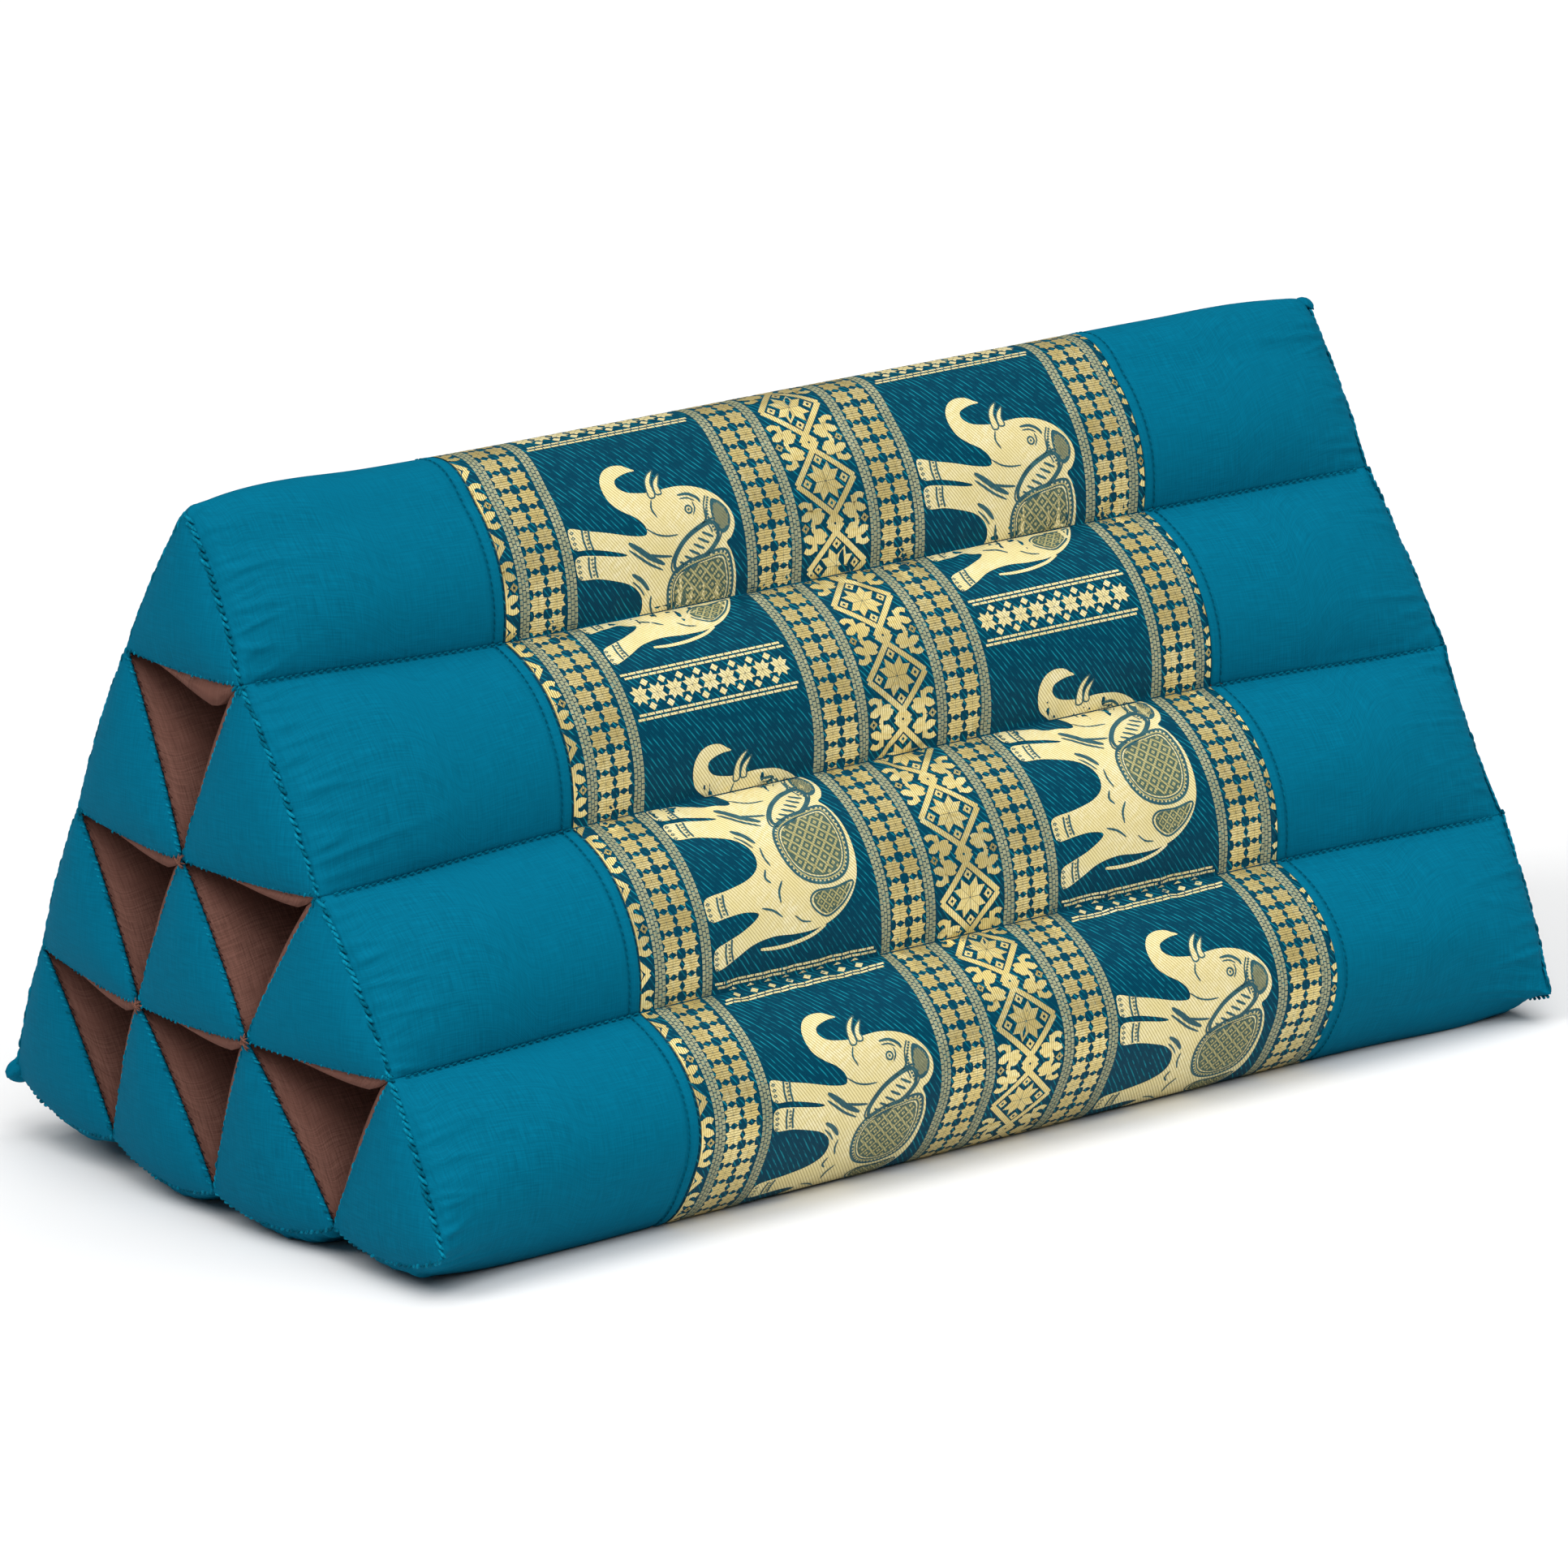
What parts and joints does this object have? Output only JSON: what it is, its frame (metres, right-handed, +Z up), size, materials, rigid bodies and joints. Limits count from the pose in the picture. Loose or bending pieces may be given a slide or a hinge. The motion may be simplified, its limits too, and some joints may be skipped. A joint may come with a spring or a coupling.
{
  "type": "thai triangle cushion",
  "caption": "Triangular prism backrest cushion of stuffed cotton tubes sewn edge to edge, open pockets at both ends and a figured brocade band round the middle.",
  "frame": {"origin": "under the middle of the cushion, on the surface that it lies on", "axes": "+X along the length to the right end, -Y to the front slope, +Z up to the ridge"},
  "size_m": [0.5108, 0.27, 0.2473],
  "materials": {
    "teal_cotton": "plain woven teal cotton, matt; brown cotton inside the pockets",
    "patch_cotton": "plain woven teal cotton patches, overcast along their edges",
    "gold_brocade": "figured brocade, gold and pale thread on a dark teal twill ground"
  },
  "bodies": {
    "root": {"chamber_1_1": "teal_cotton", "chamber_2_1": "teal_cotton", "chamber_2_2": "teal_cotton", "chamber_3_1": "teal_cotton", "chamber_3_2": "teal_cotton", "chamber_3_3": "teal_cotton", "chamber_4_1": "teal_cotton", "chamber_4_2": "teal_cotton", "chamber_4_3": "teal_cotton", "chamber_4_4": "teal_cotton", "patch_left_1_1": "patch_cotton", "patch_left_2_1": "patch_cotton", "patch_left_2_2": "patch_cotton", "patch_left_3_1": "patch_cotton", "patch_left_3_2": "patch_cotton", "patch_left_3_3": "patch_cotton", "patch_left_4_1": "patch_cotton", "patch_left_4_2": "patch_cotton", "patch_left_4_3": "patch_cotton", "patch_left_4_4": "patch_cotton", "patch_right_1_1": "patch_cotton", "patch_right_2_1": "patch_cotton", "patch_right_2_2": "patch_cotton", "patch_right_3_1": "patch_cotton", "patch_right_3_2": "patch_cotton", "patch_right_3_3": "patch_cotton", "patch_right_4_1": "patch_cotton", "patch_right_4_2": "patch_cotton", "patch_right_4_3": "patch_cotton", "patch_right_4_4": "patch_cotton", "brocade_band": "gold_brocade"}
  },
  "joints": []
}
